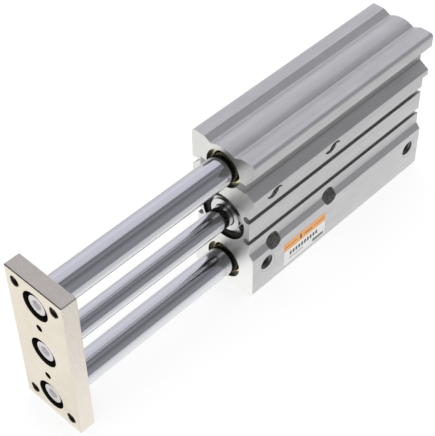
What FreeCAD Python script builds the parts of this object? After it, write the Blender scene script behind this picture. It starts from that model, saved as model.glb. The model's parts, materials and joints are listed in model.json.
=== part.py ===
import FreeCAD, Part
import math
import os
import re

import Sketcher

# A guided pneumatic cylinder: an extruded body with a central piston, and two guide rods
# beside it that keep the tooling plate from turning. It is drawn fully extended.
# X runs along the piston axis, from the plate at the -X end to the body at the +X end.
# The ported wide face looks towards -Y, and the part stands on a narrow side, with +Z up.
# The origin is under the middle of the part, on the surface that it stands on.

SIZES = {
    "stroke": 100.0,
    # Body: an extrusion, seen along X
    "body_width": 41.0,
    "body_height": 93.0,
    "bore_radius": 12.5,
    "rod_spacing": 65.0,
    "bulge_radius": 14.0,
    "ridge_inner_top": 12.2,
    "ridge_inner_foot": 7.2,
    "valley_depth": 2.56,
    "valley_radius": 1.6,
    "corner_radius": 2.1,
    "edge_radius": 0.4,
    "groove_depth": 5.9,
    "groove_top": 38.6,
    "groove_floor_top": 30.3,
    "groove_floor_low": 26.4,
    "groove_low": 22.9,
    "back_groove_depth": 5.5,
    "back_groove_top": 28.3,
    "back_groove_floor": 28.8,
    "back_groove_low": 23.4,
    "recess_depth": 2.7,
    "recess_edge": 19.4,
    "recess_slope": 3.0,
    "sensor_height": 7.6,
    "sensor_radius": 2.1,
    "sensor_mouth": 3.2,
    "sensor_depth": 4.0,
    # Body: machined seats, holes and ports
    "seat_radius": 14.0,
    "seat_depth": 9.5,
    "head_seat_depth": 7.0,
    "ring_groove_depth": 0.9,
    "ring_start": 1.4,
    "ring_thickness": 1.2,
    "mouth_chamfer": 0.25,
    "guide_core_room": 1.6,
    "mount_first": 17.0,
    "mount_pitch": 44.0,
    "mount_height": 17.5,
    "mount_hole_radius": 2.8,
    "mount_head_radius": 4.75,
    "mount_head_depth": 5.5,
    "pin_hole_radius": 2.0,
    "pin_hole_depth": 3.5,
    "port_front": 11.5,
    "port_rear": 9.0,
    "port_height": 29.2,
    "port_radius": 4.3,
    "port_depth": 8.0,
    "port_chamfer": 0.7,
    "side_port_inset": 5.6,
    "passage_radius": 1.0,
    "passage_inset": 8.3,
    # Tooling plate
    "plate_thickness": 9.0,
    "plate_width": 38.0,
    "plate_height": 92.0,
    "plate_chamfer": 0.45,
    "closed_gap": 9.0,
    "tapped_inset_wide": 6.0,
    "tapped_inset_high": 7.0,
    "tapped_radius": 2.6,
    "tapped_chamfer": 0.6,
    "plate_pin_height": 17.5,
    "bolt_recess_room": 1.8,
    "bolt_recess_depth": 5.9,
    "bolt_hole_room": 0.25,
    # Plate bolts
    "bolt_head_radius": 6.5,
    "bolt_head_height": 5.0,
    "bolt_head_chamfer": 1.0,
    "bolt_thread_radius": 3.95,
    "bolt_thread_length": 16.0,
    "bolt_end_room": 2.0,
    "socket_radius": 3.2,
    "socket_depth": 1.6,
    # Guide rods and their bushes
    "guide_radius": 8.0,
    "guide_reach": 61.5,
    "rod_chamfer": 0.8,
    "running_clearance": 0.03,
    "bush_wall": 2.75,
    "bush_recess": 2.6,
    "bush_length": 20.0,
    "bush_chamfer": 0.9,
    "inner_bush_start": 38.0,
    # Piston rod and piston
    "rod_radius": 6.0,
    "rod_shoulder": 2.0,
    "piston_length": 11.0,
    "piston_clearance": 0.2,
    "piston_web": 6.0,
    "nut_room": 1.0,
    "nut_radius": 7.5,
    "nut_height": 4.0,
    "wear_start": 1.2,
    "wear_width": 2.0,
    "wear_depth": 1.1,
    "magnet_start": 4.2,
    "magnet_width": 2.5,
    "magnet_depth": 1.9,
    "seal_start": 7.7,
    "seal_width": 2.2,
    "seal_depth": 2.4,
    "bumper_thickness": 1.0,
    "bumper_hole_room": 1.0,
    "bumper_nut_room": 0.5,
    "bumper_edge_room": 1.1,
    "stop_gap": 0.25,
    # Rod cover and head cover
    "cover_start": 2.6,
    "cover_clearance": 0.03,
    "cover_length": 13.0,
    "neck_clearance": 1.0,
    "hub_start": 1.0,
    "hub_wall": 1.2,
    "lip_clearance": 0.45,
    "lip_thickness": 0.8,
    "rod_seal_width": 2.2,
    "rod_seal_end": 5.0,
    "partition_clearance": 0.3,
    "rod_bush_start": 5.6,
    "rod_bush_wall": 1.5,
    "gasket_inset": 2.6,
    "gasket_width": 1.6,
    "gasket_depth": 1.4,
    "head_length": 12.0,
    "head_gasket_inset": 1.4,
    "head_dish_radius": 8.0,
    "head_dish_depth": 0.8,
    # Retaining rings
    "ring_room": 0.15,
    "ring_band": 3.55,
    "ring_offset": 0.8,
    "ring_gap": 7.0,
    "ring_turn": 13.0,
    "lug_clearance": 0.4,
    "lug_edge": 0.25,
    "lug_height": 5.5,
    "lug_hole_radius": 0.8,
    # Port plugs and label
    "plug_length": 6.0,
    "plug_inset": 0.8,
    "plug_socket_radius": 2.9,
    "plug_socket_depth": 3.5,
    "label_start": 24.3,
    "label_length": 33.0,
    "label_top": 26.0,
    "label_height": 16.5,
    "label_thickness": 0.1,
}

# Values that follow from the sizes
DERIVED = {
    "body_length": "cover_length + piston_length + 2 * bumper_thickness + 2 * stop_gap"
                   " + stroke + head_length",
    "plate_gap": "closed_gap + stroke",
    "front_x": "(plate_gap + plate_thickness - body_length) / 2",
    "axis_z": "body_height / 2",
    "half_width": "body_width / 2",
    "half_height": "body_height / 2",
    "guide_z": "rod_spacing / 2",
    "piston_x": "cover_length + stop_gap + bumper_thickness",
    "bush_bore": "guide_radius + running_clearance",
    "bush_radius": "guide_radius + bush_wall",
    "guide_core_radius": "guide_radius + guide_core_room",
    "bolt_head_x": "bolt_recess_depth - bolt_head_height",
    "bolt_recess_radius": "bolt_head_radius + bolt_recess_room",
    "bolt_hole_radius": "bolt_thread_radius + bolt_hole_room",
    "tapped_y": "plate_width / 2 - tapped_inset_wide",
    "tapped_z": "plate_height / 2 - tapped_inset_high",
    "rod_bore": "rod_radius + running_clearance",
    "rod_spigot_radius": "rod_radius - rod_shoulder",
    "rod_seal_radius": "rod_radius + rod_seal_width",
    "rod_bush_radius": "rod_radius + rod_bush_wall",
    "lip_radius": "rod_radius + lip_clearance",
    "partition_radius": "rod_radius + partition_clearance",
    "hub_radius": "rod_seal_radius + hub_wall",
    "cylinder_fit": "bore_radius - running_clearance",
    "piston_radius": "bore_radius - piston_clearance",
    "wear_radius": "piston_radius - wear_depth",
    "magnet_radius": "piston_radius - magnet_depth",
    "seal_radius": "piston_radius - seal_depth",
    "nut_recess_radius": "nut_radius + nut_room",
    "neck_radius": "bore_radius - neck_clearance",
    "cover_radius": "seat_radius - cover_clearance",
    "gasket_radius": "seat_radius - gasket_depth",
    "ring_groove_radius": "seat_radius + ring_groove_depth",
    "ring_radius": "ring_groove_radius - ring_room",
    "ring_inner_radius": "ring_radius - ring_band",
    "lug_radius": "(ring_radius - lug_edge - hub_radius - lug_clearance) / 2",
    "lug_reach": "sqrt((hub_radius + lug_clearance + lug_radius) ^ 2 - lug_height ^ 2)",
    "port_rear_x": "body_length - port_rear",
}

OVERSHOOT = 1.0  # how far a cutting tool stands out of the face that it enters
SAME_PLACE = 0.01  # how near two places are when they count as one

doc = FreeCAD.newDocument("guided_cylinder")
sheet = doc.addObject("Spreadsheet::Sheet", "Sizes")
for row, (alias, size) in enumerate(SIZES.items(), start=1):
    sheet.set(f"A{row}", alias)
    sheet.set(f"B{row}", str(size))
    sheet.setAlias(f"B{row}", alias)
doc.recompute()

pieces = []


def expand(formula):
    """Turn a formula in plain size names into one that reads the sheet."""
    def name(match):
        word = match.group()
        if word in DERIVED:
            return f"({expand(DERIVED[word])})"
        return f"Sizes.{word}" if word in SIZES else word
    return re.sub(r"[a-z_]+", name, str(formula))


def value(formula):
    """The number that a formula gives now."""
    return float(sheet.evalExpression(expand(formula)))


def bind(obj, **formulas):
    for prop, formula in formulas.items():
        obj.setExpression(prop.replace("__", "."), expand(formula))


def move(obj, x="0", y="0", z="0"):
    bind(obj, Placement__Base__x=x, Placement__Base__y=y, Placement__Base__z=z)


def piece(obj, label, x="0", y="0", z="0"):
    """Name a finished piece and place it, from the body's front face and the piston axis."""
    obj.Label = label
    move(obj, f"front_x + ({x})", y, f"axis_z + ({z})")
    pieces.append(obj)
    return obj


def along_x(radius, length, x="0", y="0", z="0"):
    rod = doc.addObject("Part::Cylinder", "round_x")
    rod.Placement.Rotation = FreeCAD.Rotation(FreeCAD.Vector(0, 1, 0), 90)
    bind(rod, Radius=radius, Height=length)
    move(rod, x, y, z)
    return rod


def along_y(radius, length, x="0", y="0", z="0"):
    rod = doc.addObject("Part::Cylinder", "round_y")
    rod.Placement.Rotation = FreeCAD.Rotation(FreeCAD.Vector(1, 0, 0), -90)
    bind(rod, Radius=radius, Height=length)
    move(rod, x, y, z)
    return rod


def along_z(radius, length, x="0", y="0", z="0"):
    rod = doc.addObject("Part::Cylinder", "round_z")
    bind(rod, Radius=radius, Height=length)
    move(rod, x, y, z)
    return rod


def cone(axis, radius, end_radius, length, x="0", y="0", z="0"):
    """A chamfer's cone, from its wide end towards +X, -X, +Y or +Z."""
    turns = {"+X": ((0, 1, 0), 90), "-X": ((0, 1, 0), -90), "+Y": ((1, 0, 0), -90), "+Z": ((0, 0, 1), 0)}
    around, angle = turns[axis]
    tool = doc.addObject("Part::Cone", "chamfer_cone")
    tool.Placement.Rotation = FreeCAD.Rotation(FreeCAD.Vector(*around), angle)
    bind(tool, Radius1=radius, Radius2=end_radius, Height=length)
    move(tool, x, y, z)
    return tool


def block(length, width, height, x="0", y="0", z="0"):
    box = doc.addObject("Part::Box", "block")
    bind(box, Length=length, Width=width, Height=height)
    move(box, x, y, z)
    return box


def prism(radius, length, turn):
    """A hexagon bar along the turned Z axis, for sockets and nuts."""
    bar = doc.addObject("Part::Prism", "hexagon")
    bar.Polygon = 6
    bar.Placement.Rotation = FreeCAD.Rotation(FreeCAD.Vector(*turn[0]), turn[1])
    bind(bar, Circumradius=radius, Height=length)
    return bar


def cut(base, tools):
    fused = tools[0]
    if len(tools) > 1:
        fused = doc.addObject("Part::MultiFuse", "tools")
        fused.Shapes = tools
    result = doc.addObject("Part::Cut", "cut")
    result.Base = base
    result.Tool = fused
    return result


def sketch_on(body, plane, name):
    sketch = body.newObject("Sketcher::SketchObject", name)
    origin_plane = [feature for feature in body.Origin.OriginFeatures if feature.Role == plane]
    sketch.AttachmentSupport = [(origin_plane[0], "")]
    sketch.MapMode = "FlatFace"
    return sketch


def pin_point(sketch, line, across, up):
    """Hold the start of a line at two formulas from the sketch's origin."""
    for kind, axis, formula in (("DistanceX", -2, across), ("DistanceY", -1, up)):
        if formula == "0":
            sketch.addConstraint(Sketcher.Constraint("PointOnObject", line, 1, axis))
        else:
            index = sketch.addConstraint(Sketcher.Constraint(kind, -1, 1, line, 1, value(formula)))
            sketch.setExpression(f"Constraints[{index}]", expand(formula))


def closed_outline(sketch, points):
    corners = [FreeCAD.Vector(value(across), value(up), 0) for across, up in points]
    count = len(corners)
    for i in range(count):
        sketch.addGeometry(Part.LineSegment(corners[i], corners[(i + 1) % count]), False)
    for i in range(count):
        sketch.addConstraint(Sketcher.Constraint("Coincident", i, 2, (i + 1) % count, 1))
    for i, (across, up) in enumerate(points):
        pin_point(sketch, i, across, up)


def circle_at(sketch, radius, across, up):
    centre = FreeCAD.Vector(value(across), value(up), 0)
    index = sketch.addGeometry(Part.Circle(centre, FreeCAD.Vector(0, 0, 1), value(radius)), False)
    limit = sketch.addConstraint(Sketcher.Constraint("Radius", index, value(radius)))
    sketch.setExpression(f"Constraints[{limit}]", expand(radius))
    for kind, axis, formula in (("DistanceX", -2, across), ("DistanceY", -1, up)):
        if formula == "0":
            sketch.addConstraint(Sketcher.Constraint("PointOnObject", index, 3, axis))
        else:
            held = sketch.addConstraint(Sketcher.Constraint(kind, -1, 1, index, 3, value(formula)))
            sketch.setExpression(f"Constraints[{held}]", expand(formula))


def turned(name, points):
    """A turned piece: an outline of (x, radius) corners spun about the X axis."""
    body = doc.addObject("PartDesign::Body", name)
    sketch = sketch_on(body, "XY_Plane", f"{name}_outline")
    closed_outline(sketch, points)
    spin = body.newObject("PartDesign::Revolution", f"{name}_spin")
    spin.Profile = sketch
    spin.ReferenceAxis = (sketch, ["H_Axis"])
    spin.Angle = 360
    body.Tip = spin
    return body


def washer(name, start, end, inner, outer):
    return turned(name, [(start, inner), (start, outer), (end, outer), (end, inner)])


def mirrored(formula, side):
    return formula if side > 0 else f"-({formula})"


def body_extrusion():
    """The body's profile, with its ridges, grooves and sensor slots, drawn along X."""
    body = doc.addObject("PartDesign::Body", "extrusion")
    profile = sketch_on(body, "YZ_Plane", "profile")
    recess_low = "recess_edge - recess_slope"
    closed_outline(profile, [
        ("-half_width", "half_height"),
        ("-ridge_inner_top", "half_height"),
        ("-ridge_inner_foot", "half_height - valley_depth"),
        ("ridge_inner_foot", "half_height - valley_depth"),
        ("ridge_inner_top", "half_height"),
        ("half_width", "half_height"),
        ("half_width", "back_groove_top"),
        ("half_width - back_groove_depth", "back_groove_floor"),
        ("half_width", "back_groove_low"),
        ("half_width", "recess_edge"),
        ("half_width - recess_depth", recess_low),
        ("half_width - recess_depth", f"-({recess_low})"),
        ("half_width", "-recess_edge"),
        ("half_width", "-half_height"),
        ("-half_width", "-half_height"),
        ("-half_width", "-recess_edge"),
        ("recess_depth - half_width", f"-({recess_low})"),
        ("recess_depth - half_width", recess_low),
        ("-half_width", "recess_edge"),
        ("-half_width", "groove_low"),
        ("groove_depth - half_width", "groove_floor_low"),
        ("groove_depth - half_width", "groove_floor_top"),
        ("-half_width", "groove_top"),
    ])
    pad = body.newObject("PartDesign::Pad", "extruded")
    pad.Profile = profile
    bind(pad, Length="body_length")

    round_profile = sketch_on(body, "YZ_Plane", "bulge_profile")
    circle_at(round_profile, "bulge_radius", "0", "guide_z")
    bulge = body.newObject("PartDesign::Pad", "bulge")
    bulge.Profile = round_profile
    bind(bulge, Length="body_length")
    doc.recompute()

    def on_bulge(y, z):
        return abs(math.hypot(y, z - value("guide_z")) - value("bulge_radius")) < SAME_PLACE

    valleys = body.newObject("PartDesign::Fillet", "valleys")
    valleys.Base = (bulge, long_edges(bulge.Shape, on_bulge))
    bind(valleys, Radius="valley_radius")
    doc.recompute()

    corners = [(side, value("half_height")) for side in (-value("half_width"), value("half_width"))]
    corners += [(side, -value("half_height")) for side in (-value("half_width"), value("half_width"))]
    rounded = body.newObject("PartDesign::Fillet", "outer_corners")
    rounded.Base = (valleys, long_edges(valleys.Shape, near(corners)))
    bind(rounded, Radius="corner_radius")
    doc.recompute()

    half, floor = value("half_width"), value("half_width - recess_depth")
    low = value(recess_low)
    soft = [(-half, value(name)) for name in ("groove_top", "groove_low", "recess_edge")]
    soft += [(half, value(name)) for name in ("back_groove_top", "back_groove_low", "recess_edge")]
    soft += [(side, -value("recess_edge")) for side in (-half, half)]
    soft += [(side, height) for side in (-floor, floor) for height in (-low, low)]
    softened = body.newObject("PartDesign::Fillet", "soft_edges")
    softened.Base = (rounded, long_edges(rounded.Shape, near(soft)))
    bind(softened, Radius="edge_radius")

    slots = sketch_on(body, "YZ_Plane", "slot_pockets")
    mouths = sketch_on(body, "YZ_Plane", "slot_mouths")
    line = 0
    for side in (-1, 1):
        for level in (-1, 1):
            height = mirrored("sensor_height", level)
            circle_at(slots, "sensor_radius", mirrored("half_width - recess_depth - sensor_depth"
                                                       " + sensor_radius", side), height)
            inner = mirrored("half_width - recess_depth - sensor_depth + sensor_radius", side)
            outer = mirrored(f"half_width + {OVERSHOOT}", side)
            low_edge, top_edge = f"{height} - sensor_mouth / 2", f"{height} + sensor_mouth / 2"
            rectangle(mouths, line, inner, outer, low_edge, top_edge)
            line += 4
    for sketch, name in ((slots, "slot_pocket"), (mouths, "slot_mouth")):
        pocket = body.newObject("PartDesign::Pocket", name)
        pocket.Profile = sketch
        pocket.Type = "ThroughAll"
        pocket.Reversed = True
        body.Tip = pocket
    return body


def rectangle(sketch, first_line, left, right, low, top):
    points = [(left, low), (right, low), (right, top), (left, top)]
    corners = [FreeCAD.Vector(value(across), value(up), 0) for across, up in points]
    for i in range(4):
        sketch.addGeometry(Part.LineSegment(corners[i], corners[(i + 1) % 4]), False)
    for i in range(4):
        joined = first_line + (i + 1) % 4
        sketch.addConstraint(Sketcher.Constraint("Coincident", first_line + i, 2, joined, 1))
        pin_point(sketch, first_line + i, *points[i])


def near(places):
    """A test for long_edges: is the edge at one of the places?"""
    return lambda y, z: any(math.hypot(y - across, z - up) < SAME_PLACE for across, up in places)


def long_edges(shape, wanted):
    """Names of the straight edges along X whose y and z pass the wanted test."""
    names = []
    for number, edge in enumerate(shape.Edges, start=1):
        ends = [vertex.Point for vertex in edge.Vertexes]
        if len(ends) != 2 or abs(ends[0].x - ends[1].x) < 1:
            continue
        if all(wanted(end.y, end.z) for end in ends):
            names.append(f"Edge{number}")
    return names


def cylinder_body():
    over = OVERSHOOT
    length = "body_length"
    tools = [
        along_x("bore_radius", f"{length} + 2 * {over}", f"-{over}"),
        along_x("seat_radius", f"seat_depth + {over}", f"-{over}"),
        along_x("seat_radius", f"head_seat_depth + {over}", f"{length} - head_seat_depth"),
        along_x("ring_groove_radius", "ring_thickness", "ring_start"),
        along_x("ring_groove_radius", "ring_thickness", f"{length} - ring_start - ring_thickness"),
        cone("+X", "seat_radius + mouth_chamfer", "seat_radius", "mouth_chamfer"),
        cone("-X", "seat_radius + mouth_chamfer", "seat_radius", "mouth_chamfer", length),
    ]
    for side in (1, -1):
        z = mirrored("guide_z", side)
        inner = "inner_bush_start"
        tools += [
            along_x("guide_core_radius", f"{length} + 2 * {over}", f"-{over}", "0", z),
            along_x("bush_radius", f"bush_recess + bush_length + {over}", f"-{over}", "0", z),
            along_x("bush_radius", f"{length} - {inner} + {over}", inner, "0", z),
            cone("+X", "bush_radius + mouth_chamfer", "bush_radius", "mouth_chamfer", "0", "0", z),
            cone("-X", "bush_radius + mouth_chamfer", "bush_radius", "mouth_chamfer", length, "0", z),
        ]
        for step in (0, 1):
            x = f"mount_first + {step} * mount_pitch"
            z = mirrored("mount_height", side)
            tools += [
                along_y("mount_hole_radius", f"body_width + 2 * {over}", x, f"-half_width - {over}", z),
                along_y("mount_head_radius", f"mount_head_depth + {over}", x, f"-half_width - {over}", z),
            ]
    for step in (0, 1):
        x = f"mount_first + {step} * mount_pitch"
        y = "half_width - recess_depth - pin_hole_depth"
        tools.append(along_y("pin_hole_radius", f"pin_hole_depth + {over}", x, y, "0"))
    for x in ("port_front", "port_rear_x"):
        tools += port_tools(x)
    return cut(body_extrusion(), tools)


def port_tools(x):
    """A threaded port in the wide face and one in the narrow face, joined by a drilled passage."""
    over = OVERSHOOT
    side_y = "side_port_inset - half_width"
    passage_y = "passage_inset - half_width"
    mouth = "port_radius + port_chamfer"
    return [
        along_y("port_radius", f"port_depth + {over}", x, f"-half_width - {over}", "-port_height"),
        cone("+Y", mouth, "port_radius", "port_chamfer", x, "-half_width", "-port_height"),
        along_z("port_radius", f"port_depth + {over}", x, side_y, f"-half_height - {over}"),
        cone("+Z", mouth, "port_radius", "port_chamfer", x, side_y, "-half_height"),
        along_z("passage_radius", "half_height - port_depth", x, passage_y,
                "port_depth - half_height - passage_radius"),
    ]


def tooling_plate():
    body = doc.addObject("PartDesign::Body", "plate_blank")
    face = sketch_on(body, "YZ_Plane", "plate_face")
    rectangle(face, 0, "-plate_width / 2", "plate_width / 2", "-plate_height / 2", "plate_height / 2")
    pad = body.newObject("PartDesign::Pad", "plate_pad")
    pad.Profile = face
    bind(pad, Length="plate_thickness")
    doc.recompute()
    bevel = body.newObject("PartDesign::Chamfer", "plate_edges")
    bevel.Base = (pad, [f"Edge{i}" for i in range(1, len(pad.Shape.Edges) + 1)])
    bind(bevel, Size="plate_chamfer")
    body.Tip = bevel

    over = OVERSHOOT
    through = f"plate_thickness + 2 * {over}"
    tools = []
    for z in ("guide_z", "0", "-guide_z"):
        tools.append(along_x("bolt_recess_radius", f"bolt_recess_depth + {over}", f"-{over}", "0", z))
        tools.append(along_x("bolt_hole_radius", through, f"-{over}", "0", z))
    mouth = "tapped_radius + tapped_chamfer"
    for side in (-1, 1):
        for level in (-1, 1):
            y = mirrored("tapped_y", side)
            z = mirrored("tapped_z", level)
            tools.append(along_x("tapped_radius", through, f"-{over}", y, z))
            tools.append(cone("+X", mouth, "tapped_radius", "tapped_chamfer", "0", y, z))
        tools.append(along_x("pin_hole_radius", through, f"-{over}", "0", mirrored("plate_pin_height", side)))
    return cut(body, tools)


def plate_bolt():
    shank_end = "bolt_head_height + plate_thickness - bolt_recess_depth + bolt_thread_length"
    blank = turned("plate_bolt", [
        ("0", "0"),
        ("0", "bolt_head_radius - bolt_head_chamfer"),
        ("bolt_head_chamfer", "bolt_head_radius"),
        ("bolt_head_height", "bolt_head_radius"),
        ("bolt_head_height", "bolt_thread_radius"),
        (f"{shank_end} - rod_chamfer", "bolt_thread_radius"),
        (shank_end, "bolt_thread_radius - rod_chamfer"),
        (shank_end, "0"),
    ])
    socket = prism("socket_radius", f"socket_depth + {OVERSHOOT}", ((0, 1, 0), 90))
    move(socket, f"-{OVERSHOOT}")
    return cut(blank, [socket])


def rod_front(radius):
    """The front end of a rod: a chamfered face with a tapped hole for its plate bolt."""
    hole = "bolt_thread_radius + running_clearance"
    depth = "bolt_thread_length + bolt_end_room"
    return [(depth, "0"), (depth, hole), ("0", hole), ("0", f"{radius} - rod_chamfer"),
            ("rod_chamfer", radius)]


def guide_rod():
    length = "plate_gap + guide_reach"
    return turned("guide_rod", rod_front("guide_radius") + [
        (f"{length} - rod_chamfer", "guide_radius"),
        (length, "guide_radius - rod_chamfer"),
        (length, "0"),
    ])


def piston_rod():
    shoulder = "plate_gap + piston_x"
    end = f"{shoulder} + piston_web + nut_height"
    return turned("piston_rod", rod_front("rod_radius") + [
        (shoulder, "rod_radius"),
        (shoulder, "rod_spigot_radius"),
        (end, "rod_spigot_radius"),
        (end, "0"),
    ])


def ring_groove(start, width, floor, rim):
    return [(start, rim), (start, floor), (f"{start} + {width}", floor), (f"{start} + {width}", rim)]


def piston():
    rim = "piston_radius"
    hole = "rod_spigot_radius"
    outline = [("0", hole), ("0", rim)]
    outline += ring_groove("wear_start", "wear_width", "wear_radius", rim)
    outline += ring_groove("magnet_start", "magnet_width", "magnet_radius", rim)
    outline += ring_groove("seal_start", "seal_width", "seal_radius", rim)
    outline += [("piston_length", rim), ("piston_length", "nut_recess_radius"),
                ("piston_web", "nut_recess_radius"), ("piston_web", hole)]
    return turned("piston", outline)


def piston_nut():
    bar = prism("nut_radius", "nut_height", ((0, 1, 0), 90))
    return cut(bar, [along_x("rod_spigot_radius", f"nut_height + 2 * {OVERSHOOT}", f"-{OVERSHOOT}")])


def rod_cover():
    rim = "cover_radius"
    outline = [("hub_start", "lip_radius"), ("hub_start", "hub_radius"),
               ("cover_start", "hub_radius"), ("cover_start", rim)]
    outline += ring_groove("cover_start + gasket_inset", "gasket_width", "gasket_radius", rim)
    outline += [
        ("seat_depth", rim),
        ("seat_depth", "neck_radius"),
        ("cover_length", "neck_radius"),
        ("cover_length", "rod_bush_radius"),
        ("rod_bush_start", "rod_bush_radius"),
        ("rod_bush_start", "partition_radius"),
        ("rod_seal_end", "partition_radius"),
        ("rod_seal_end", "rod_seal_radius"),
        ("hub_start + lip_thickness", "rod_seal_radius"),
        ("hub_start + lip_thickness", "lip_radius"),
    ]
    return turned("rod_cover", outline)


def head_cover():
    """Drawn from the body's rear face, which is its x = 0, towards the piston at -x."""
    rim = "cover_radius"
    start = "-cover_start"
    outline = [(start, "head_dish_radius"), (start, rim)]
    outline += ring_groove(f"{start} - head_gasket_inset", "-1 * gasket_width", "gasket_radius", rim)
    outline += [
        ("-head_seat_depth", rim),
        ("-head_seat_depth", "neck_radius"),
        ("-head_length", "neck_radius"),
        ("-head_length", "0"),
        (f"{start} - head_dish_depth", "0"),
        (f"{start} - head_dish_depth", "head_dish_radius"),
    ]
    return turned("head_cover", outline)


def retaining_ring():
    """A ring with a tapered section, open towards -Y, with an eyed lug at each end."""
    over = OVERSHOOT
    long_tool = f"ring_thickness + 2 * {over}"
    band = cut(along_x("ring_radius", "ring_thickness"),
               [along_x("ring_inner_radius", long_tool, f"-{over}", "-ring_offset")])
    lugs = [along_x("lug_radius", "ring_thickness", "0", "-lug_reach", mirrored("lug_height", side))
            for side in (-1, 1)]
    eyed = doc.addObject("Part::MultiFuse", "eyed_ring")
    eyed.Shapes = [band] + lugs
    tools = [along_x("lug_hole_radius", long_tool, f"-{over}", "-lug_reach", mirrored("lug_height", side))
             for side in (-1, 1)]
    tools.append(block(long_tool, "ring_radius", "ring_gap", f"-{over}", "-ring_radius - 1", "-ring_gap / 2"))
    return cut(eyed, tools)


def port_plug():
    """A plug for the narrow face's port, drawn upwards from its own lower face."""
    bar = along_z("port_radius - running_clearance", "plug_length")
    socket = prism("plug_socket_radius", f"plug_socket_depth + {OVERSHOOT}", ((0, 0, 1), 0))
    move(socket, "0", "0", f"-{OVERSHOOT}")
    return cut(bar, [socket])


def bush():
    inner, outer = "bush_bore", "bush_radius"
    return turned("guide_bush", [
        ("0", f"{inner} + bush_chamfer"),
        ("0", outer),
        ("bush_length", outer),
        ("bush_length", inner),
        ("bush_chamfer", inner),
    ])


piece(cylinder_body(), "cylinder_body")
piece(tooling_plate(), "tooling_plate", "-plate_gap - plate_thickness")
for side_name, height in (("upper", "guide_z"), ("middle", "0"), ("lower", "-guide_z")):
    piece(plate_bolt(), f"plate_bolt_{side_name}", "-plate_gap - plate_thickness + bolt_head_x", "0", height)
for side_name, height in (("upper", "guide_z"), ("lower", "-guide_z")):
    piece(guide_rod(), f"guide_rod_{side_name}", "-plate_gap", "0", height)
    piece(bush(), f"front_bush_{side_name}", "bush_recess", "0", height)
    piece(bush(), f"inner_bush_{side_name}", "inner_bush_start", "0", height)

piece(piston_rod(), "piston_rod", "-plate_gap")
piece(piston(), "piston", "piston_x")
piece(piston_nut(), "piston_nut", "piston_x + piston_web")
piece(washer("wear_ring", "wear_start", "wear_start + wear_width", "wear_radius", "cylinder_fit"),
      "wear_ring", "piston_x")
piece(washer("magnet_ring", "magnet_start", "magnet_start + magnet_width", "magnet_radius",
             "piston_radius"), "magnet_ring", "piston_x")
piece(washer("piston_seal", "seal_start", "seal_start + seal_width", "seal_radius", "cylinder_fit"),
      "piston_seal", "piston_x")
piece(washer("front_bumper", "-bumper_thickness", "0", "rod_radius + bumper_hole_room",
             "bore_radius - bumper_edge_room"),
      "front_bumper", "piston_x")
piece(washer("rear_bumper", "0", "bumper_thickness", "nut_recess_radius + bumper_nut_room",
             "bore_radius - bumper_edge_room"),
      "rear_bumper", "piston_x + piston_length")

piece(rod_cover(), "rod_cover")
piece(washer("rod_bush", "rod_bush_start", "cover_length", "rod_bore", "rod_bush_radius"), "rod_bush")
piece(washer("rod_seal", "hub_start + lip_thickness", "rod_seal_end", "rod_bore", "rod_seal_radius"),
      "rod_seal")
piece(washer("rod_cover_gasket", "cover_start + gasket_inset",
             "cover_start + gasket_inset + gasket_width", "gasket_radius", "seat_radius"),
      "rod_cover_gasket")
piece(head_cover(), "head_cover", "body_length")
head_gasket_x = "-cover_start - head_gasket_inset"
piece(washer("head_cover_gasket", f"{head_gasket_x} - gasket_width", head_gasket_x,
             "gasket_radius", "seat_radius"), "head_cover_gasket", "body_length")

for ring_name, start in (("front", "ring_start"), ("rear", "body_length - ring_start - ring_thickness")):
    ring = piece(retaining_ring(), f"{ring_name}_retaining_ring", start)
    ring.Placement.Rotation = FreeCAD.Rotation(FreeCAD.Vector(-1, 0, 0), value("ring_turn"))
    bind(ring, Placement__Rotation__Angle="ring_turn * 1 deg")
for plug_name, x in (("front", "port_front"), ("rear", "port_rear_x")):
    piece(port_plug(), f"{plug_name}_port_plug", x, "side_port_inset - half_width",
          "plug_inset - half_height")
piece(block("label_length", "label_thickness", "label_height"), "rating_label", "label_start",
      "-half_width - label_thickness", "-label_top - label_height")

doc.recompute()
for obj in doc.Objects:
    if {"Invalid", "Error"} & set(obj.State):
        raise RuntimeError(f"{obj.Label} did not compute: {obj.State}")
os.makedirs("parts", exist_ok=True)
for obj in pieces:
    if obj.Shape.isNull() or not obj.Shape.isValid():
        raise RuntimeError(f"{obj.Label} has no valid shape")
    obj.Shape.exportStep(f"parts/{obj.Label}.step")
    print(obj.Label, len(obj.Shape.Solids), round(obj.Shape.Volume, 1))
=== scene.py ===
import functools
import json
import math

import bmesh
import bpy
from mathutils import Matrix, Vector


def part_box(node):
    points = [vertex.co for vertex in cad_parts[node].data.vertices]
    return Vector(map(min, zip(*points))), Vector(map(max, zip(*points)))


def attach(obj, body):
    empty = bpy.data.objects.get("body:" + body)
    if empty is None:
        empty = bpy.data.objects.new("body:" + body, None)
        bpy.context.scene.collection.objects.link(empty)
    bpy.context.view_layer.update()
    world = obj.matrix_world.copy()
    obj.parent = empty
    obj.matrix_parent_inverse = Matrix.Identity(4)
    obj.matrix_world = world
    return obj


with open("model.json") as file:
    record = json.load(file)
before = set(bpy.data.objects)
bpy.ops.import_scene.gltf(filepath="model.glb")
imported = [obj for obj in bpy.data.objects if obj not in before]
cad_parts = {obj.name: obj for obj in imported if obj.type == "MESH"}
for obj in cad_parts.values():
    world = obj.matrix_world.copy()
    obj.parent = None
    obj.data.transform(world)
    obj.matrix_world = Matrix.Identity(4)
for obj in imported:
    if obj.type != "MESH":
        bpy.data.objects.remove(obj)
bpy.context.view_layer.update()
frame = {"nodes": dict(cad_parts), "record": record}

MM = 0.001

# The camera, as worked out from the photograph's corners: degrees and metres
CAMERA_AZIMUTH = -45.70
CAMERA_ELEVATION = 46.20
CAMERA_ROLL = -0.81
CAMERA_DISTANCE = 0.6002
CAMERA_AIM = Vector((-0.01288, 0.00148, 0.04569))
CAMERA_LENS_MM = 98.8
SENSOR_MM = 36.0

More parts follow.
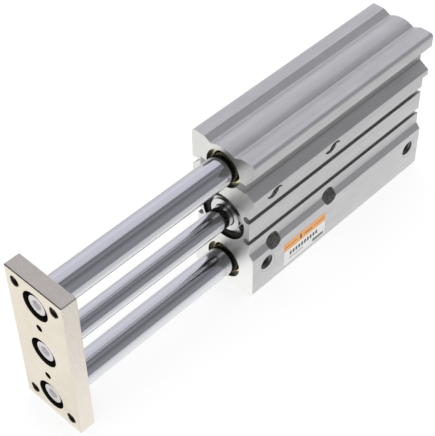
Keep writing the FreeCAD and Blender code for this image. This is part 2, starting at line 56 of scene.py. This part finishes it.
# How far a painted area reaches past the surface that it covers
PAINT_REACH = 0.02 * MM
# How far below a face the painted wall of a hole starts
BELOW_FACE = 0.05 * MM


class Graph:
    """Adds shader nodes to a material or a world. An input is a number, a colour or a node's output."""

    def __init__(self, owner):
        owner.use_nodes = True
        self.tree = owner.node_tree
        self.tree.nodes.clear()

    def add(self, kind, inputs=None, output=0, **settings):
        node = self.tree.nodes.new(kind)
        for name, setting in settings.items():
            setattr(node, name, setting)
        for name, given in (inputs or {}).items():
            if isinstance(given, bpy.types.NodeSocket):
                self.tree.links.new(given, node.inputs[name])
            else:
                node.inputs[name].default_value = given
        return node.outputs[output]

    def end(self, kind, shader):
        self.tree.links.new(shader, self.tree.nodes.new(kind).inputs["Surface"])

    def math(self, operation, first, second=0.0):
        return self.add("ShaderNodeMath", {0: first, 1: second}, operation=operation)

    def noise(self, place, scale, detail=2.0):
        """Noise from 0 to 1, about 1/scale metres across in each direction."""
        stretched = self.add("ShaderNodeVectorMath", {0: place, 1: scale}, operation="MULTIPLY")
        return self.add("ShaderNodeTexNoise", {"Vector": stretched, "Scale": 1.0, "Detail": detail})

    def ramp(self, given, low, high, to_low=0.0, to_high=1.0):
        return self.add("ShaderNodeMapRange", {"Value": given, "From Min": low, "From Max": high,
                                               "To Min": to_low, "To Max": to_high})

    def bands(self, given, low, high, stops):
        """A colour that runs through the stops, each a value from low to high with its colour."""
        ramp = self.add("ShaderNodeValToRGB", {"Fac": self.ramp(given, low, high)})
        elements = ramp.node.color_ramp.elements
        while len(elements) < len(stops):
            elements.new(0.5)
        for element, (at, shade) in zip(elements, stops):
            element.position = (at - low) / (high - low)
            element.color = shade
        return ramp

    def mix(self, factor, first, second):
        return self.add("ShaderNodeMix", {0: factor, 6: first, 7: second}, output=2, data_type="RGBA")

    def blend(self, *parts):
        """The sum of the given values, each times its share."""
        return functools.reduce(functools.partial(self.math, "ADD"),
                                [self.math("MULTIPLY", given, share) for given, share in parts])

    def split(self, vector):
        return self.add("ShaderNodeSeparateXYZ", {0: vector}).node.outputs

    def place(self):
        """The point's place in the frame at rest, in metres."""
        return self.add("ShaderNodeTexCoord", output="Object")

    def facing(self):
        """The surface's direction in the frame at rest."""
        return self.add("ShaderNodeTexCoord", output="Normal")

    def either(self, first, second):
        return self.math("MAXIMUM", first, second)

    def both(self, first, second):
        return self.math("MULTIPLY", first, second)

    def apart(self, first, second, centre):
        """How far the two coordinates are from the centre, in metres."""
        offsets = [self.math("SUBTRACT", given, at) for given, at in zip((first, second), centre)]
        squares = [self.math("MULTIPLY", offset, offset) for offset in offsets]
        return self.math("SQRT", self.math("ADD", *squares))

    def under(self, given, limit):
        return self.math("LESS_THAN", given, limit)

    def over(self, given, limit):
        return self.math("GREATER_THAN", given, limit)

    def inverse(self, mask):
        return self.math("SUBTRACT", 1.0, mask)

    def any_of(self, masks):
        return functools.reduce(self.either, masks)

    def all_of(self, *masks):
        return functools.reduce(self.both, masks)

    def within(self, first, second, centres, radius):
        """1 where the two coordinates are within the radius of any of the centres, and 0 elsewhere."""
        return self.any_of([self.under(self.apart(first, second, centre), radius) for centre in centres])

    def between(self, given, low, high):
        return self.both(self.over(given, low), self.under(given, high))

    def bump(self, height, depth, normal):
        return self.add("ShaderNodeBump", {"Height": height, "Distance": depth, "Normal": normal})

    def soft_edges(self, radius):
        return self.add("ShaderNodeBevel", {"Radius": radius}, samples=4)


def colour(red, green, blue):
    return (red, green, blue, 1.0)


def grey(level):
    return colour(level, level, level)


def material(name, build):
    """A material whose Principled inputs are what build(graph) returns."""
    made = bpy.data.materials.new(name)
    graph = Graph(made)
    graph.end("ShaderNodeOutputMaterial", graph.add("ShaderNodeBsdfPrincipled", build(graph)))
    return made


def middle(name):
    low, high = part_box(name)
    return (low + high) / 2


def mount(name):
    return next(entry for entry in frame["record"]["mounts"] if entry["name"] == name)


def radius_of(name):
    """The radius of a round piece that lies along X."""
    low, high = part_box(name)
    return (high.z - low.z) / 2


def hole_centres(pattern, axis):
    """The centres of a mount's four holes, along the given axis and along Z."""
    wide = pattern["dims"]["spacing_x_mm"] / 2 * MM
    high = pattern["dims"]["spacing_y_mm"] / 2 * MM
    return [Vector((pattern["pos_m"][axis] + side * wide, pattern["pos_m"][2] + level * high))
            for side in (-1, 1) for level in (-1, 1)]


# Where the holes are, in metres: y and z in the plate, x and z in the ported face
PLATE_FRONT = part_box("tooling_plate")[0].x
BOLTS = ("plate_bolt_upper", "plate_bolt_middle", "plate_bolt_lower")
BOLT_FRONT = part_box(BOLTS[0])[0].x
BOLT_CENTRES = [middle(bolt).yz for bolt in BOLTS]
BOLT_RADIUS = radius_of(BOLTS[0])
BOLT_FACE_RADIUS = BOLT_RADIUS * 0.835
RECESS_RADIUS = BOLT_RADIUS + 1.8 * MM
TAPPED_CENTRES = hole_centres(mount("plate_tapped_holes"), 1)
TAPPED_RADIUS = mount("plate_tapped_holes")["dims"]["hole_r_mm"] * MM
TAPPED_MOUTH = 0.35 * MM
PIN_RADIUS = mount("plate_pin_upper")["dims"]["r_mm"] * MM
PIN_CENTRES = [Vector(mount(name)["pos_m"]).yz for name in ("plate_pin_upper", "plate_pin_lower")]
PORT_CENTRES = [Vector(mount(name)["pos_m"]).xz for name in ("air_port_front", "air_port_rear")]
PORT_RADIUS = mount("air_port_front")["dims"]["r_mm"] * MM
PORT_RIM = 0.7 * MM
# How wide the painted shade line just outside each port's chamfer is
PORT_SHADE_LINE = 0.25 * MM
PORT_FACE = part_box("cylinder_body")[0].y
SCREW_CENTRES = hole_centres(mount("body_through_holes"), 0)
SCREW_HEAD_RADIUS = 4.75 * MM
SLOT_HEIGHTS = [mount(f"front_sensor_slot_{level}")["pos_m"][2] for level in ("upper", "lower")]
SLOT_REACH = 2.3 * MM
BODY_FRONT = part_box("cylinder_body")[0].x
BODY_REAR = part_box("cylinder_body")[1].x
PLAIN_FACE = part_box("cylinder_body")[1].y
AXIS_Z = middle("piston_rod").z
GUIDE_CENTRES = [middle(f"guide_rod_{level}").yz for level in ("upper", "lower")]
BUSH_RADIUS = radius_of("front_bush_upper")
BUSH_MOUTH = 0.27 * MM
# Where the painted shade on the bushes starts and becomes full, inward from their outer radius
GAP_SHADE_FROM = 1.6 * MM
GAP_SHADE_FULL = 2.0 * MM
COVER_RADIUS = radius_of("rod_cover")
RING_GROOVE = 1.0 * MM

# How far from the body's middle plane the painted shade in the slots, port walls and valleys ends
SLOT_LIMIT = 17.7 * MM
PORT_LIMIT = 20.0 * MM
VALLEY_LIMIT = 15.4 * MM
VALLEY_FLOOR = 14.8 * MM
# Where the painted shade in the valleys starts and ends above the piston rod's axis
VALLEY_FOOT = 25.5 * MM
VALLEY_TOP = 31.0 * MM


# Materials

def anodised(graph):
    """The extrusion: die lines along X, a fine grain, machined ends, painted shade in its hollows and
    painted highlights on the port chamfers.
    """
    place = graph.place()
    x, y, z = graph.split(place)
    out = graph.math("ABSOLUTE", y)
    face_x, face_y = (graph.math("ABSOLUTE", part) for part in graph.split(graph.facing())[:2])
    lines = graph.noise(place, (12, 2500, 2500), 2.0)
    grain = graph.noise(place, (2600, 2600, 2600), 2.0)
    clouds = graph.noise(place, (60, 180, 180), 3.0)
    marks = graph.ramp(graph.noise(place, (900, 900, 900), 2.0), 0.35, 0.65)
    tone = graph.blend((lines, 0.35), (grain, 0.35), (clouds, 0.3))

    machined = graph.ramp(face_x, 0.9, 0.97)
    skin = graph.mix(graph.ramp(tone, 0.38, 0.62), colour(0.56, 0.56, 0.565), colour(0.68, 0.68, 0.685))
    end = graph.mix(graph.ramp(grain, 0.3, 0.7), colour(0.90, 0.90, 0.87), colour(0.96, 0.96, 0.93))

    # Painted shade: the groove floors under the overhanging valley walls are coloured dark grey
    valley_shade = graph.both(graph.ramp(out, VALLEY_LIMIT, VALLEY_FLOOR),
                         graph.between(z, AXIS_Z + VALLEY_FOOT, AXIS_Z + VALLEY_TOP))
    rim_edge = PORT_RADIUS + PORT_RIM
    # Painted highlight: the bare chamfer round each port is coloured near white and made less metallic
    chamfer_highlights = graph.both(graph.within(x, z, PORT_CENTRES, rim_edge + PAINT_REACH), graph.under(face_y, 0.95))
    # Painted shade: a thin dark line just outside each port's chamfer on the ported face
    rim_shade_lines = graph.all_of(graph.within(x, z, PORT_CENTRES, rim_edge + PORT_SHADE_LINE), graph.under(y, 0.0),
                         graph.inverse(graph.within(x, z, PORT_CENTRES, rim_edge)))
    # Painted shade: the port walls are coloured dark grey
    port_shade = graph.both(graph.within(x, z, PORT_CENTRES, PORT_RADIUS + PAINT_REACH),
                       graph.under(out, PORT_LIMIT))
    # Painted shade: the counterbores and through holes are coloured a darker mottled grey
    screw_hole_shade = graph.both(graph.within(x, z, SCREW_CENTRES, SCREW_HEAD_RADIUS + PAINT_REACH),
                        graph.under(y, PLAIN_FACE - BELOW_FACE))
    # Painted shade: the sensor slots are coloured darker grey
    slot_shade = graph.any_of([graph.between(z, height - SLOT_REACH, height + SLOT_REACH)
                          for height in SLOT_HEIGHTS])
    slot_shade = graph.all_of(slot_shade, graph.under(out, SLOT_LIMIT), graph.inverse(machined))
    # Painted shade: the walls inside the guide and rod bores, behind the front face, are coloured near black
    bore_shade = graph.both(graph.either(graph.within(y, z, GUIDE_CENTRES, BUSH_RADIUS + BUSH_MOUTH),
                                     graph.within(y, z, [(0.0, AXIS_Z)], COVER_RADIUS + RING_GROOVE)),
                        graph.between(x, BODY_FRONT + PAINT_REACH, BODY_REAR - PAINT_REACH))

    bare = graph.mix(machined, skin, end)
    bare = graph.mix(valley_shade, bare, grey(0.42))
    bare = graph.mix(chamfer_highlights, bare, grey(0.86))
    bare = graph.mix(rim_shade_lines, bare, grey(0.22))
    bare = graph.mix(screw_hole_shade, bare, graph.mix(marks, colour(0.36, 0.36, 0.35), colour(0.66, 0.66, 0.64)))
    bare = graph.mix(port_shade, bare, grey(0.18))
    bare = graph.mix(slot_shade, bare, grey(0.42))
    metallic = graph.ramp(machined, 0.0, 1.0, 0.78, 0.92)
    return {
        "Base Color": graph.mix(bore_shade, bare, colour(0.03, 0.03, 0.028)),
        "Metallic": graph.math("SUBTRACT", metallic, graph.math("MULTIPLY", chamfer_highlights, 0.7)),
        "Roughness": graph.math("SUBTRACT", graph.ramp(grain, 0.3, 0.7, 0.42, 0.50),
                                graph.math("MULTIPLY", machined, 0.04)),
        "Normal": graph.bump(tone, 0.012 * MM, graph.soft_edges(0.2 * MM)),
    }


def plated(graph):
    """The plate: a clouded plating on its faces, ground ends, and painted shade in the bolt recesses and
    holes.
    """
    place = graph.place()
    x, y, z = graph.split(place)
    clouds = graph.noise(place, (70, 70, 70), 4.0)
    grain = graph.noise(place, (3000, 500, 500), 2.0)
    face_x, _, face_z = (graph.math("ABSOLUTE", part) for part in graph.split(graph.facing()))
    face = graph.ramp(face_x, 0.8, 0.95)
    end = graph.ramp(face_z, 0.8, 0.95)
    front = graph.mix(graph.ramp(clouds, 0.35, 0.65), colour(0.80, 0.73, 0.59), colour(0.88, 0.81, 0.69))
    side = graph.mix(graph.ramp(grain, 0.3, 0.7), colour(0.76, 0.70, 0.62), colour(0.84, 0.78, 0.70))
    ground = graph.mix(graph.ramp(grain, 0.3, 0.7), colour(0.55, 0.51, 0.46), colour(0.66, 0.61, 0.56))
    bare = graph.mix(end, graph.mix(face, side, front), ground)
    holes = graph.any_of([graph.within(y, z, BOLT_CENTRES, RECESS_RADIUS + PAINT_REACH),
                          graph.within(y, z, TAPPED_CENTRES, TAPPED_RADIUS + TAPPED_MOUTH),
                          graph.within(y, z, PIN_CENTRES, PIN_RADIUS + PAINT_REACH)])
    # Painted shade: the walls of the bolt recesses and holes behind the front face are coloured near black
    dark = graph.both(holes, graph.over(x, PLATE_FRONT + BELOW_FACE))
    return {
        "Base Color": graph.mix(dark, bare, colour(0.02, 0.018, 0.014)),
        "Metallic": graph.ramp(dark, 0.0, 1.0, 0.92, 0.2),
        "Roughness": graph.ramp(clouds, 0.3, 0.7, 0.30, 0.38),
        "Normal": graph.bump(grain, 0.01 * MM, graph.soft_edges(0.15 * MM)),
    }


def chromed(graph):
    """A ground and chromed rod, with very fine rings round the X axis."""
    fine = graph.noise(graph.place(), (6000, 300, 300), 1.0)
    return {
        "Base Color": graph.mix(fine, colour(0.63, 0.635, 0.665), colour(0.67, 0.675, 0.705)),
        "Metallic": 1.0,
        "Roughness": graph.ramp(fine, 0.3, 0.7, 0.12, 0.18),
    }


def turned(light, dark, roughness):
    """A turned metal, with fine rings round the X axis."""
    def build(graph):
        fine = graph.noise(graph.place(), (2500, 200, 200), 2.0)
        return {
            "Base Color": graph.mix(fine, colour(*dark), colour(*light)),
            "Metallic": 1.0,
            "Roughness": graph.ramp(fine, 0.3, 0.7, roughness, roughness + 0.12),
            "Normal": graph.bump(fine, 0.01 * MM, graph.soft_edges(0.1 * MM)),
        }
    return build


def bronze(graph):
    """Turned bearing bronze, with painted shade in the narrow gap next to the rod."""
    place = graph.place()
    y, z = graph.split(place)[1:]
    fine = graph.noise(place, (2500, 200, 200), 2.0)
    bright = graph.mix(fine, colour(1.0, 0.88, 0.50), colour(1.0, 0.95, 0.68))
    # Painted shade: the bush is coloured near black close to its bore, where the gap round the rod lies in
    # shade
    nearest = graph.math("MINIMUM", *(graph.apart(y, z, guide) for guide in GUIDE_CENTRES))
    gap_shade = graph.ramp(nearest, BUSH_RADIUS - GAP_SHADE_FROM, BUSH_RADIUS - GAP_SHADE_FULL)
    return {
        "Base Color": graph.mix(gap_shade, bright, colour(0.05, 0.04, 0.02)),
        "Metallic": 0.8,
        "Roughness": graph.ramp(fine, 0.3, 0.7, 0.18, 0.28),
        "Normal": graph.bump(fine, 0.003 * MM, graph.soft_edges(0.1 * MM)),
    }


def bolt_steel(graph):
    """A bright ground face on a blackened head."""
    place = graph.place()
    x, y, z = graph.split(place)
    fine = graph.noise(place, (1500, 1500, 1500), 2.0)
    bright = graph.mix(fine, colour(0.70, 0.69, 0.68), colour(0.88, 0.87, 0.86))
    face = graph.within(y, z, BOLT_CENTRES, BOLT_FACE_RADIUS)
    # Painted light: the socket is coloured pale and made less metallic, so it reads lighter than its shade
    socket = graph.both(face, graph.over(x, BOLT_FRONT + BELOW_FACE))
    bright = graph.mix(socket, bright, colour(0.82, 0.78, 0.80))
    return {
        "Base Color": graph.mix(face, colour(0.025, 0.023, 0.02), bright),
        "Metallic": graph.ramp(socket, 0.0, 1.0, 0.75, 0.25),
        "Roughness": graph.ramp(fine, 0.3, 0.7, 0.36, 0.5),
        "Normal": graph.bump(fine, 0.02 * MM, graph.soft_edges(0.1 * MM)),
    }


def soft(base, roughness, shine=0.5):
    """Rubber, plastic or a blackened metal, with a little mottling."""
    def build(graph):
        fine = graph.noise(graph.place(), (1200, 1200, 1200), 3.0)
        shade = colour(*(channel * 0.75 for channel in base))
        return {
            "Base Color": graph.mix(fine, shade, colour(*base)),
            "Specular IOR Level": shine,
            "Roughness": graph.ramp(fine, 0.3, 0.7, roughness - 0.06, roughness + 0.06),
            "Normal": graph.bump(fine, 0.01 * MM, graph.soft_edges(0.1 * MM)),
        }
    return build


# The label's print, in millimetres from its upper left corner: how far down and how far along it lies
LABEL_BAND = 6.2
LABEL_LINES = [(2.8, 3.5, 0.4, 10.0), (2.8, 3.5, 23.5, 32.6)]
LABEL_MARK = (1.6, 5.2, 12.6, 13.9)
# The rows of dashes also have a pitch and the share of it that each dash fills
LABEL_ROWS = [(8.4, 11.2, 4.5, 27.0, 2.3, 0.62), (13.0, 13.7, 4.0, 15.5, 1.2, 0.7),
              (13.4, 15.6, 23.0, 32.0, 0.9, 0.85), (2.9, 4.3, 16.0, 22.5, 1.4, 0.6)]


def label_film(graph):
    """White film with an orange band, a plain mark and rows of plain dashes."""
    low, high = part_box("rating_label")
    place = graph.place()
    x, _, z = graph.split(place)
    down = graph.math("SUBTRACT", high.z, z)
    along = graph.math("SUBTRACT", x, low.x)
    fade = graph.noise(place, (300, 300, 300), 2.0)
    white = graph.mix(fade, colour(0.96, 0.96, 0.96), colour(1.0, 1.0, 0.99))
    orange = graph.mix(fade, colour(0.96, 0.42, 0.10), colour(1.0, 0.50, 0.17))
    brown = colour(0.52, 0.17, 0.03)

    def block(top, bottom, start, end):
        return graph.both(graph.between(down, top * MM, bottom * MM),
                          graph.between(along, start * MM, end * MM))

    def dashes(top, bottom, start, end, pitch, share):
        step = graph.math("FRACT", graph.math("DIVIDE", along, pitch * MM))
        return graph.both(block(top, bottom, start, end), graph.under(step, share))

    printed = graph.any_of([block(*LABEL_MARK)] + [dashes(*row) for row in LABEL_ROWS])
    band = graph.between(down, 0.0, LABEL_BAND * MM)
    line = graph.any_of([block(*edges) for edges in LABEL_LINES])
    plain = graph.mix(line, graph.mix(band, white, orange), brown)
    return {
        "Base Color": graph.mix(printed, plain, colour(0.05, 0.045, 0.04)),
        "Roughness": graph.ramp(fade, 0.3, 0.7, 0.38, 0.5),
    }


FINISHES = {
    "anodised_body": anodised,
    "plated_plate": plated,
    "chromed_rod": chromed,
    "bearing_brass": bronze,
    "bolt_steel": bolt_steel,
    "cover_aluminium": turned((0.86, 0.86, 0.84), (0.74, 0.74, 0.73), 0.25),
    "plain_aluminium": turned((0.80, 0.80, 0.80), (0.68, 0.68, 0.68), 0.3),
    "black_steel": soft((0.022, 0.022, 0.019), 0.42, 0.15),
    "zinc_steel": turned((0.66, 0.66, 0.68), (0.52, 0.52, 0.54), 0.3),
    "seal_rubber": soft((0.03, 0.03, 0.03), 0.55),
    "bumper_rubber": soft((0.14, 0.14, 0.15), 0.55),
    "wear_plastic": soft((0.66, 0.60, 0.46), 0.5),
    "magnet_compound": soft((0.08, 0.07, 0.07), 0.6),
    "label_film": label_film,
}

materials = {slot: material(slot, build) for slot, build in FINISHES.items()}
for entry in frame["record"]["subparts"]:
    node = frame["nodes"][entry["node"]]
    node.material_slots[0].material = materials[entry["material_slot"]]


# Threads, which the solids leave out

THREAD_PITCH = 0.9 * MM
THREAD_STEPS = 28
# The ridge's foot on either side of its crest, as a share of the pitch, and its least height at the ends
THREAD_FOOT = 0.42
THREAD_STUB = 0.05


def thread(name, axis, start, radius, depth, length):
    """A ridge that winds round the inside of a hole. The hole opens at start and runs along the axis."""
    count = int(length / THREAD_PITCH * THREAD_STEPS)
    along = Vector(axis)
    side = along.orthogonal().normalized()
    other = along.cross(side)
    foot = along * THREAD_PITCH * THREAD_FOOT
    mesh = bmesh.new()
    rings = []
    for step in range(count + 1):
        turns = step / THREAD_STEPS
        outward = side * math.cos(2 * math.pi * turns) + other * math.sin(2 * math.pi * turns)
        on_axis = Vector(start) + along * (THREAD_PITCH * turns)
        height = depth * max(min(1.0, turns, (count - step) / THREAD_STEPS), THREAD_STUB)
        rings.append([mesh.verts.new(on_axis + outward * radius - foot),
                      mesh.verts.new(on_axis + outward * (radius - height)),
                      mesh.verts.new(on_axis + outward * radius + foot)])
    for before, after in zip(rings, rings[1:]):
        for i in range(3):
            j = (i + 1) % 3
            mesh.faces.new((before[i], before[j], after[j], after[i]))
    mesh.faces.new(rings[0])
    mesh.faces.new(rings[-1])
    bmesh.ops.recalc_face_normals(mesh, faces=mesh.faces)
    data = bpy.data.meshes.new(name)
    mesh.to_mesh(data)
    mesh.free()
    made = bpy.data.objects.new(name, data)
    bpy.context.scene.collection.objects.link(made)
    return made


def make_threads():
    # The threads are coloured darker than the faces round them: painted shade for the inside of the holes
    plate_thread = material("plate_thread", turned((0.50, 0.45, 0.38), (0.24, 0.21, 0.18), 0.30))
    for number, (y, z) in enumerate(TAPPED_CENTRES, start=1):
        made = thread(f"plate_thread_{number}", axis=(1, 0, 0), start=(PLATE_FRONT + 1.0 * MM, y, z),
                      radius=TAPPED_RADIUS, depth=0.42 * MM, length=7.0 * MM)
        made.data.materials.append(plate_thread)
        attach(made, "carriage")
    port_thread = material("port_thread", turned((0.42, 0.42, 0.42), (0.20, 0.20, 0.20), 0.30))
    for name, (x, z) in zip(("front", "rear"), PORT_CENTRES):
        made = thread(f"port_thread_{name}", axis=(0, 1, 0), start=(x, PORT_FACE + 1.2 * MM, z),
                      radius=PORT_RADIUS, depth=0.5 * MM, length=6.0 * MM)
        made.data.materials.append(port_thread)
        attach(made, "cylinder")


# Studio

# How bright the room is, by the angle about X: from the +Y horizon at -90 over the top to the -Y horizon
STUDIO_BANDS = [(-90, 0.84), (-70, 0.90), (-54, 0.95), (-44, 0.92), (-38, 0.80), (-30, 0.86), (-6, 0.80),
                (0, 0.80), (4, 0.24), (10, 0.22), (24, 0.33), (30, 0.33), (38, 0.20), (44, 0.20), (58, 0.30),
                (74, 0.36), (90, 0.33)]
# The same on the plate's side, which metal mirrors at its front faces
FRONT_BANDS = [(-90, 0.03), (20, 0.03), (45, 0.07), (90, 0.10)]
# The x of a direction up to which metal mirrors the front, and from which it mirrors the rest
FRONT_BLEND = (-0.1, 0.25)
STUDIO_TINT = (0.97, 0.97, 1.05)
EVEN_LIGHT = 0.95
FLOOR_GLOW = 0.75
# How bright the floor looks in metal, by y in metres
FLOOR_BANDS = [(-0.2, 0.50), (-0.085, 0.56), (-0.025, 0.90), (-0.01, 0.93), (0.01, 0.86), (0.03, 0.72),
               (0.07, 0.58), (0.16, 0.40)]
FLOOR_BANDS_REACH = 0.2
# The same in front of the plate
PLATE_SHEEN = 0.73
PLATE_SHEEN_FADE = 2.0 * MM
FLOOR_PALE = 0.8
FLOOR_SHADOW = 0.35
FLOOR_REACH = 4.0
FLOOR_EDGE_Y = -0.24
FLOOR_Z = -0.1 * MM


def make_floor():
    mesh = bpy.data.meshes.new("floor")
    corners = [(-FLOOR_REACH, FLOOR_EDGE_Y), (FLOOR_REACH, FLOOR_EDGE_Y), (FLOOR_REACH, FLOOR_REACH),
               (-FLOOR_REACH, FLOOR_REACH)]
    mesh.from_pydata([(x, y, FLOOR_Z) for x, y in corners], [], [(0, 1, 2, 3)])
    floor = bpy.data.objects.new("floor", mesh)
    bpy.context.scene.collection.objects.link(floor)
    made = bpy.data.materials.new("pale_floor")
    graph = Graph(made)
    rays = graph.add("ShaderNodeLightPath").node.outputs
    pale = graph.add("ShaderNodeBsdfDiffuse", {"Color": grey(FLOOR_PALE)})
    shadow = graph.add("ShaderNodeBsdfDiffuse", {"Color": grey(FLOOR_SHADOW)})
    glow = graph.add("ShaderNodeEmission", {"Color": grey(1.0), "Strength": FLOOR_GLOW})
    seen = graph.add("ShaderNodeAddShader", {0: shadow, 1: glow})
    along, across = graph.split(graph.place())[:2]
    behind = graph.ramp(along, PLATE_FRONT - PLATE_SHEEN_FADE, PLATE_FRONT)
    stops = [(at, grey(level)) for at, level in FLOOR_BANDS]
    bands = graph.bands(across, -FLOOR_BANDS_REACH, FLOOR_BANDS_REACH, stops)
    tone = graph.mix(behind, grey(PLATE_SHEEN), bands)
    sheen = graph.add("ShaderNodeEmission", {"Color": tone, "Strength": 1.0})
    mirrored = graph.add("ShaderNodeAddShader", {0: shadow, 1: sheen})
    shown = graph.add("ShaderNodeMixShader", {0: rays["Is Glossy Ray"], 1: seen, 2: mirrored})
    viewed = graph.any_of([rays["Is Camera Ray"], rays["Is Glossy Ray"], rays["Is Transmission Ray"]])
    graph.end("ShaderNodeOutputMaterial", graph.add("ShaderNodeMixShader", {0: viewed, 1: pale, 2: shown}))
    mesh.materials.append(made)


def make_world():
    """White to the eye, even for matt surfaces. Metal mirrors a bright +Y side, dim in front and at -Y."""
    world = bpy.data.worlds.new("studio")
    bpy.context.scene.world = world
    graph = Graph(world)
    x, y, z = graph.split(graph.add("ShaderNodeTexCoord", output="Generated"))
    turn = graph.math("ARCTAN2", graph.math("MULTIPLY", y, -1.0), z)
    rooms = []
    for levels in (FRONT_BANDS, STUDIO_BANDS):
        stops = [(math.radians(angle), colour(*(level * part for part in STUDIO_TINT)))
                 for angle, level in levels]
        rooms.append(graph.bands(turn, -math.pi / 2, math.pi / 2, stops))
    mirrored = graph.mix(graph.ramp(x, *FRONT_BLEND), *rooms)
    rays = graph.add("ShaderNodeLightPath").node.outputs
    studio = graph.add("ShaderNodeBackground", {"Color": mirrored, "Strength": 1.0})
    even = graph.add("ShaderNodeBackground", {"Color": grey(1.0), "Strength": EVEN_LIGHT})
    white = graph.add("ShaderNodeBackground", {"Color": grey(1.0), "Strength": 1.0})
    lit = graph.add("ShaderNodeMixShader", {0: rays["Is Diffuse Ray"], 1: studio, 2: even})
    shown = graph.add("ShaderNodeMixShader", {0: rays["Is Camera Ray"], 1: lit, 2: white})
    graph.end("ShaderNodeOutputWorld", shown)


def make_camera():
    azimuth, elevation, roll = (math.radians(a) for a in (CAMERA_AZIMUTH, CAMERA_ELEVATION, CAMERA_ROLL))
    back = Vector((math.sin(azimuth) * math.cos(elevation), -math.cos(azimuth) * math.cos(elevation),
                   math.sin(elevation)))
    right = Vector((math.cos(azimuth), math.sin(azimuth), 0.0))
    right.rotate(Matrix.Rotation(roll, 3, back))
    up = back.cross(right)
    turn = Matrix((right, up, back)).transposed().to_4x4()
    data = bpy.data.cameras.new("camera")
    data.lens = CAMERA_LENS_MM
    data.sensor_width = SENSOR_MM
    camera = bpy.data.objects.new("camera", data)
    camera.matrix_world = Matrix.Translation(CAMERA_AIM + back * CAMERA_DISTANCE) @ turn
    bpy.context.scene.collection.objects.link(camera)
    bpy.context.scene.camera = camera


make_threads()
make_floor()
make_world()
make_camera()
bpy.context.scene.view_settings.view_transform = "Standard"
